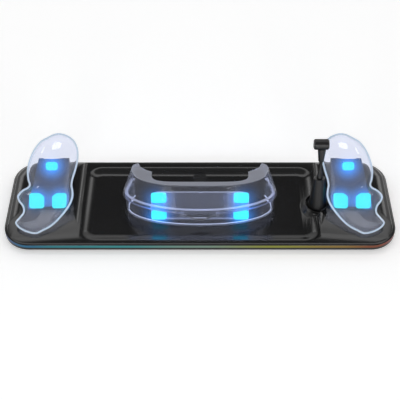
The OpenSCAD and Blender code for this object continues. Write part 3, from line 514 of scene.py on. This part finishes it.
def cradle_row(share):
    """Row of the cradle's outline at a share of its length; the rows lie closer near both ends."""
    last = len(CRADLE_ROWS) - 1
    t = last * (1 - math.cos(math.pi * share)) / 2
    i = min(int(t), last - 1)
    near = [CRADLE_ROWS[min(max(k, 0), last)] for k in (i - 1, i, i + 1, i + 2)]
    return [smooth_between(*values, t - i) for values in zip(*near)]


def slope_point(up, out):
    """Place from front to back, and height, of a point over the saddle's slope."""
    return (
        SADDLE_FRONT + up * math.cos(SLOPE) - out * math.sin(SLOPE),
        SLOPE_LOW + up * math.sin(SLOPE) + out * math.cos(SLOPE),
    )


def rim_at(up):
    """The rim follows the slope, then falls forward to the toe."""
    if up >= 0:
        return slope_point(up, RIM_HEIGHT)
    y, z = slope_point(0, RIM_HEIGHT)
    low = DECK + TOE_RIM
    return y + up, low + (z - low) * max(1 - up / TOE_END, 0) ** TOE_FALL


def mound_at(y):
    """Height of the mound's surface at a place between front and back."""
    return MOUND if y > BROW else max(MOUND - (BROW - y) * RAMP, DECK)


def back_at(up):
    """The back lies on the slope, then comes down over the mound to the toe."""
    if up >= 0:
        return slope_point(up, PAD_OUT - BITE)
    y, z = slope_point(0, PAD_OUT - BITE)
    low = mound_at(y + TOE_STRETCH * TOE_END) + TOE_GAP
    return y + TOE_STRETCH * up, low + (z - low) * max(1 - up / TOE_END, 0)


def depth_at(up):
    """Share of the bowl's full depth: 1 along its middle, and rounded off to the head and the toe."""
    if up > HEAD_ROUND:
        past = (up - HEAD_ROUND) / (HEAD_END + END_PAST - HEAD_ROUND)
    elif up < TOE_ROUND:
        past = (up - TOE_ROUND) / (TOE_END - END_PAST - TOE_ROUND)
    else:
        return 1.0
    return math.sqrt(max(1 - past**2, 0))


def cradle_point(along, across):
    """Point on the left cradle's outer skin, in millimetres; both shares run from 0 to 1."""
    up, outwards, inwards = cradle_row(along)
    rim, back = rim_at(up), back_at(up)
    whole = math.dist(rim, back)
    share = max(whole * depth_at(up), LEAST_DEPTH) / whole
    left, right = -CRADLE_X - outwards, -CRADLE_X + inwards
    turn = math.pi * across
    swing = -math.copysign(abs(math.cos(turn)) ** FULLNESS, math.cos(turn))
    sink = share * max(math.sin(turn), 0) ** FULLNESS
    x = (left + right) / 2 + (right - left) / 2 * swing
    y = rim[0] + (back[0] - rim[0]) * sink
    z = rim[1] + (back[1] - rim[1]) * sink
    return Vector((x, y, z))


def flatten_on_pads(point):
    """The cradle's back is cut flat where it lies on the pads."""
    y, z = point.y - SADDLE_FRONT, point.z - SLOPE_LOW
    up = y * math.cos(SLOPE) + z * math.sin(SLOPE)
    out = -y * math.sin(SLOPE) + z * math.cos(SLOPE)
    if 0 < up < SLOPE_LENGTH and out < PAD_OUT:
        point.y, point.z = slope_point(up, PAD_OUT)
    return point


def cradle_shell(name, side, materials):
    """A clear open shell, left (-1) or right (1)."""
    shape = bmesh.new()
    bmesh.ops.create_grid(shape, x_segments=LONG_STEPS, y_segments=CROSS_STEPS, size=1)
    for vertex in shape.verts:
        point = flatten_on_pads(cradle_point((vertex.co.x + 1) / 2, (vertex.co.y + 1) / 2))
        vertex.co = Vector((-side * point.x, point.y, point.z)) * MM
    bmesh.ops.recalc_face_normals(shape, faces=shape.faces)
    shape.normal_update()
    lowest = min(shape.faces, key=lambda face: face.calc_center_median().z)
    if lowest.normal.z > 0:
        bmesh.ops.reverse_faces(shape, faces=shape.faces)
    mesh = bpy.data.meshes.new(name)
    shape.to_mesh(mesh)
    shape.free()
    for polygon in mesh.polygons:
        polygon.use_smooth = True
    piece = bpy.data.objects.new(name, mesh)
    bpy.context.scene.collection.objects.link(piece)
    wall = piece.modifiers.new("Wall", "SOLIDIFY")
    wall.thickness = sizes().clear_wall
    wall.offset = -1
    wall.use_even_offset = False
    wall.material_offset_rim = EDGE
    bevel = piece.modifiers.new("Rounded rim", "BEVEL")
    bevel.width = sizes().rim_round
    bevel.segments = 3
    bevel.limit_method = "ANGLE"
    bevel.angle_limit = RIM_ANGLE
    bevel.material = EDGE
    place(piece, materials)
    return piece


class DOCK_OT_shell(bpy.types.Operator):
    """Dress the base's covers, touch key, feet and screws"""

    bl_idname = "dock.shell"
    bl_label = "Base"

    def execute(self, context):
        black = plain("Satin black plastic", colours().shell, 0.17, wander=0.05, scale=1500)
        key = plain("Key black", (0.014, 0.014, 0.015), 0.2)
        rubber = plain("Foot rubber", (0.02, 0.02, 0.02), 0.75, scale=600, depth=0.00004)
        steel = plain("Screw steel", (0.55, 0.56, 0.58), 0.3, metallic=1.0)
        dress("top_cover", "deck_and_mounds", [black], smooth=40)
        dress("bottom_cover", "underside", [black])
        dress("touch_key", "key_disc", [key], round_edges=0.0003)
        dress("rubber_feet", "desk_feet", [rubber], round_edges=0.0002)
        dress("cover_screws", "cover_screw_set", [steel])
        return {"FINISHED"}


class DOCK_OT_light_band(bpy.types.Operator):
    """Light the milky strip round the front, from blue at the left to red at the right"""

    bl_idname = "dock.light_band"
    bl_label = "Light band"

    def execute(self, context):
        material, shader = principled("Lit milky strip", (0.02, 0.02, 0.02), 0.4, specular=0.2)
        nodes, links = material.node_tree.nodes, material.node_tree.links
        where = nodes.new("ShaderNodeTexCoord")
        split = nodes.new("ShaderNodeSeparateXYZ")
        span = nodes.new("ShaderNodeMapRange")
        span.inputs["From Min"].default_value = CAD_BOX[0][0]
        span.inputs["From Max"].default_value = CAD_BOX[1][0]
        ramp = ramp_node(material.node_tree, BAND_COLOURS)
        ramp.color_ramp.interpolation = "EASE"
        links.new(where.outputs["Object"], split.inputs["Vector"])
        links.new(split.outputs["X"], span.inputs["Value"])
        links.new(span.outputs["Result"], ramp.inputs["Fac"])
        links.new(ramp.outputs["Color"], shader.inputs["Emission Color"])
        shader.inputs["Emission Strength"].default_value = BAND_GLOW
        dress("light_band", "milky_light_band", [material])
        return {"FINISHED"}


class DOCK_OT_saddles(bpy.types.Operator):
    """Dress the two saddles"""

    bl_idname = "dock.saddles"
    bl_label = "Saddles"

    def execute(self, context):
        for side, _ in SIDES:
            material, shader = grained(
                f"Gloss saddle {side}", colours().saddle, 0.14, wander=0.04, scale=900,
            )
            # Painted glow of the pads' light on the saddle
            add_painted_halos(material, shader, pad_middles(side), 1.2)
            dress(
                f"{side}_saddle", f"{side}_saddle_block", [material], round_edges=0.0012,
                segments=3,
            )
        return {"FINISHED"}


class DOCK_OT_pads(bpy.types.Operator):
    """Light the charging pads"""

    bl_idname = "dock.pads"
    bl_label = "Charging pads"

    def execute(self, context):
        lit, shader = grained("Lit pad", (0.01, 0.1, 0.12), 0.25, specular=0.3, wander=0.05, scale=900)
        shader.inputs["Emission Color"].default_value = (*colours().pad, 1)
        shader.inputs["Emission Strength"].default_value = 1.0
        for group in PAD_NODES.values():
            for node in group:
                dress(node, f"{node}_lens", [lit], round_edges=0.0006)
        return {"FINISHED"}


class DOCK_OT_cradles(bpy.types.Operator):
    """Mould the two clear cradles"""

    bl_idname = "dock.cradles"
    bl_label = "Clear cradles"

    def execute(self, context):
        # Painted edge glow on the cradles' rims
        rim = clear_rim_with_painted_glow("Cradle rim", (0.5, 0.8, 1.0), 0.22)
        for side, sign in SIDES:
            # Painted glow of the pads' light in the cradle's clear wall
            wall = clear_plastic_with_painted_glow(f"Clear cradle {side}", 0.05, pad_middles(side), 0.12)
            piece = cradle_shell(f"{side}_cradle_shell", sign, [wall, rim])
            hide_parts(f"{side}_cradle")
        return {"FINISHED"}


class DOCK_OT_headset_rest(bpy.types.Operator):
    """Mould the clear headset rest and its plate"""

    bl_idname = "dock.headset_rest"
    bl_label = "Headset rest"

    def execute(self, context):
        middles = pad_middles("rest")
        # Painted glow of the pads' light in the clear band and plate
        band = clear_plastic_with_painted_glow("Clear rest", 0.03, middles, 0.7, ior=1.12)
        plate = clear_plastic_with_painted_glow("Clear plate", 0.04, middles, 0.5, ior=1.12)
        flange, _ = clear_plastic("Milky flange", 0.35)
        # Painted edge glow on the rest's rims
        rim = clear_rim_with_painted_glow("Clear rim", (0.72, 0.8, 1.0), 0.36)
        foot_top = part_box("rest_lower_band")[0][2] + FOOT_HEIGHT

        def flange_faces(polygon):
            return FLANGE if polygon.normal.z > FLANGE_LEVEL else 0

        def foot_faces(polygon):
            return EDGE if abs(polygon.normal.z) > FOOT_LEVEL and polygon.center.z < foot_top else 0

        dress(
            "rest_upper_band", "headset_rest_top", [band, rim, flange], smooth=35,
            round_edges=0.0006, choose=flange_faces,
        )
        dress(
            "rest_lower_band", "headset_rest_foot", [band, rim], smooth=35,
            round_edges=0.0005, choose=foot_faces,
        )
        dress("rest_plate", "leaning_plate", [plate, rim], round_edges=0.0004)
        return {"FINISHED"}


class DOCK_OT_plug(bpy.types.Operator):
    """Dress the plug, its sleeve and the clip at its foot"""

    bl_idname = "dock.plug"
    bl_label = "Plug and sleeve"

    def execute(self, context):
        plastic = plain("Plug plastic", (0.012, 0.012, 0.013), 0.36, scale=1400, depth=0.00003)
        rubber = plain("Sleeve rubber", (0.008, 0.008, 0.009), 0.3, scale=500)
        metal = plain("Contact metal", (0.85, 0.86, 0.88), 0.15, metallic=1.0)
        cover = plain("Lead cover", (0.03, 0.03, 0.03), 0.5)
        dress("plug_head", "plug_barrel", [plastic], round_edges=0.0003)
        dress("plug_contacts", "plug_contact_pins", [metal], round_edges=0.0002)
        dress("plug_stem", "plug_neck", [rubber])
        dress("plug_lead", "lead_in_neck", [cover])
        dress("plug_sleeve", "plug_stand_sleeve", [rubber], round_edges=0.0004)
        dress("sleeve_clip", "sleeve_foot_clip", [plastic], round_edges=0.0003)
        return {"FINISHED"}


class DOCK_OT_inner_parts(bpy.types.Operator):
    """Dress the boards, cable, ballast and power socket"""

    bl_idname = "dock.inner_parts"
    bl_label = "Inner parts"

    def execute(self, context):
        board = plain("Circuit board", (0.02, 0.12, 0.05), 0.4)
        lamps = plain("Lamp circuit", (0.75, 0.75, 0.7), 0.5)
        ribbon = plain("Flat cable", (0.7, 0.7, 0.66), 0.5)
        ballast = plain("Ballast steel", (0.5, 0.51, 0.53), 0.4, metallic=1.0)
        socket = plain("Socket steel", (0.62, 0.63, 0.65), 0.25, metallic=1.0)
        for node in ("main_board", "plug_board", "port_board", "left_charge_board", "right_charge_board"):
            dress(node, f"{node}_assembly", [board])
        dress("lamp_circuit", "lamp_strip", [lamps])
        dress("ribbon_cable", "flat_cable", [ribbon])
        dress("ballast_plate", "ballast_sheet", [ballast])
        dress("power_socket", "power_inlet_shell", [socket])
        return {"FINISHED"}


def area_lamp(name, location, aim, size, watts, shape):
    """A lamp of the stage that faces its aim point."""
    data = bpy.data.lights.new(name, "AREA")
    data.shape = shape
    data.size, data.size_y = size
    data.energy = watts
    lamp = bpy.data.objects.new(name, data)
    lamp.location = location
    lamp.rotation_euler = (Vector(aim) - Vector(location)).to_track_quat("-Z", "Y").to_euler()
    bpy.context.scene.collection.objects.link(lamp)


def seen_ray(tree, *kinds):
    """One for rays from the camera and for the other kinds that are named, else nought."""
    path = tree.nodes.new("ShaderNodeLightPath")
    seen = path.outputs["Is Camera Ray"]
    for kind in kinds:
        seen = math_node(tree, "MAXIMUM", seen, path.outputs[kind])
    return seen


class DOCK_OT_stage(bpy.types.Operator):
    """Set up the floor, the room, the lamps and the camera"""

    bl_idname = "dock.stage"
    bl_label = "Stage"

    def execute(self, context):
        settings = stage_settings()
        context.scene.view_settings.view_transform = "Standard"
        self.floor(context.scene)
        self.room(context.scene, settings.room)
        for lamp in LAMPS:
            area_lamp(*lamp)
        self.camera(context.scene, settings)
        return {"FINISHED"}

    def floor(self, scene):
        shape = bmesh.new()
        bmesh.ops.create_grid(shape, x_segments=1, y_segments=1, size=FLOOR_HALF)
        mesh = bpy.data.meshes.new("floor")
        shape.to_mesh(mesh)
        shape.free()
        floor = bpy.data.objects.new("floor", mesh)
        scene.collection.objects.link(floor)
        material, shader = principled("Pale floor", (0.95, 0.95, 0.95), 0.6, specular=0.2)
        tree = material.node_tree
        seen = seen_ray(tree, "Is Transmission Ray", "Is Glossy Ray")
        shader.inputs["Emission Color"].default_value = (1, 1, 1, 1)
        tree.links.new(math_node(tree, "MULTIPLY", seen, FLOOR_LIFT), shader.inputs["Emission Strength"])
        mesh.materials.append(material)

    def room(self, scene, strength):
        """Light from all round, with softer levels in front, and white where the camera sees it."""
        world = bpy.data.worlds.new("Studio")
        scene.world = world
        world.use_nodes = True
        tree = world.node_tree
        nodes, links = tree.nodes, tree.links
        shine = nodes["Background"]
        where = nodes.new("ShaderNodeTexCoord")
        split = nodes.new("ShaderNodeSeparateXYZ")
        ramp = ramp_node(tree, [(height, (level, level, level)) for height, level in ROOM_LEVELS])
        links.new(where.outputs["Generated"], split.inputs["Vector"])
        links.new(split.outputs["Z"], ramp.inputs["Fac"])
        links.new(ramp.outputs["Color"], shine.inputs["Color"])
        front = nodes.new("ShaderNodeMapRange")
        front.inputs["From Min"].default_value = ROOM_FRONT
        front.inputs["From Max"].default_value = ROOM_BACK
        front.inputs["To Min"].default_value = FRONT_SHARE * strength
        front.inputs["To Max"].default_value = strength
        links.new(split.outputs["Y"], front.inputs["Value"])
        links.new(front.outputs["Result"], shine.inputs["Strength"])
        white = nodes.new("ShaderNodeBackground")
        white.inputs["Color"].default_value = (1, 1, 1, 1)
        mix = nodes.new("ShaderNodeMixShader")
        links.new(seen_ray(tree, "Is Transmission Ray"), mix.inputs["Fac"])
        links.new(shine.outputs[0], mix.inputs[1])
        links.new(white.outputs[0], mix.inputs[2])
        links.new(mix.outputs[0], nodes["World Output"].inputs["Surface"])

    def camera(self, scene, settings):
        data = bpy.data.cameras.new("Camera")
        data.sensor_width = 36
        data.lens = settings.lens
        data.clip_start = 0.01
        data.clip_end = 30
        camera = bpy.data.objects.new("Camera", data)
        away = Vector((0, -math.cos(settings.elevation), math.sin(settings.elevation)))
        camera.location = CAMERA_AIM + away * settings.distance
        camera.rotation_euler = Euler((math.pi / 2 - settings.elevation, 0, 0))
        scene.collection.objects.link(camera)
        scene.camera = camera


OPERATORS = (
    DOCK_OT_shell, DOCK_OT_light_band, DOCK_OT_saddles, DOCK_OT_pads, DOCK_OT_cradles, DOCK_OT_headset_rest,
    DOCK_OT_plug, DOCK_OT_inner_parts, DOCK_OT_stage,
)


class DOCK_PT_panel(bpy.types.Panel):
    """Lists the dock's steps and settings"""

    bl_idname = "DOCK_PT_panel"
    bl_label = "Charging dock"
    bl_space_type = "VIEW_3D"
    bl_region_type = "UI"
    bl_category = "Dock"

    def draw(self, context):
        layout = self.layout
        for group in (context.scene.dock_colours, context.scene.dock_sizes, context.scene.dock_stage):
            for key in group.bl_rna.properties.keys():
                if key not in ("rna_type", "name"):
                    layout.prop(group, key)
        for operator in OPERATORS:
            layout.operator(operator.bl_idname)


CLASSES = (DockColours, DockSizes, DockStage, *OPERATORS, DOCK_PT_panel)


def register():
    for item in CLASSES:
        bpy.utils.register_class(item)
    bpy.types.Scene.dock_colours = bpy.props.PointerProperty(type=DockColours)
    bpy.types.Scene.dock_sizes = bpy.props.PointerProperty(type=DockSizes)
    bpy.types.Scene.dock_stage = bpy.props.PointerProperty(type=DockStage)


def unregister():
    del bpy.types.Scene.dock_stage
    del bpy.types.Scene.dock_sizes
    del bpy.types.Scene.dock_colours
    for item in reversed(CLASSES):
        bpy.utils.unregister_class(item)


def main():
    register()
    for operator in OPERATORS:
        group, name = operator.bl_idname.split(".")
        getattr(getattr(bpy.ops, group), name)()
    bpy.context.view_layer.update()


if __name__ == "__main__":
    main()
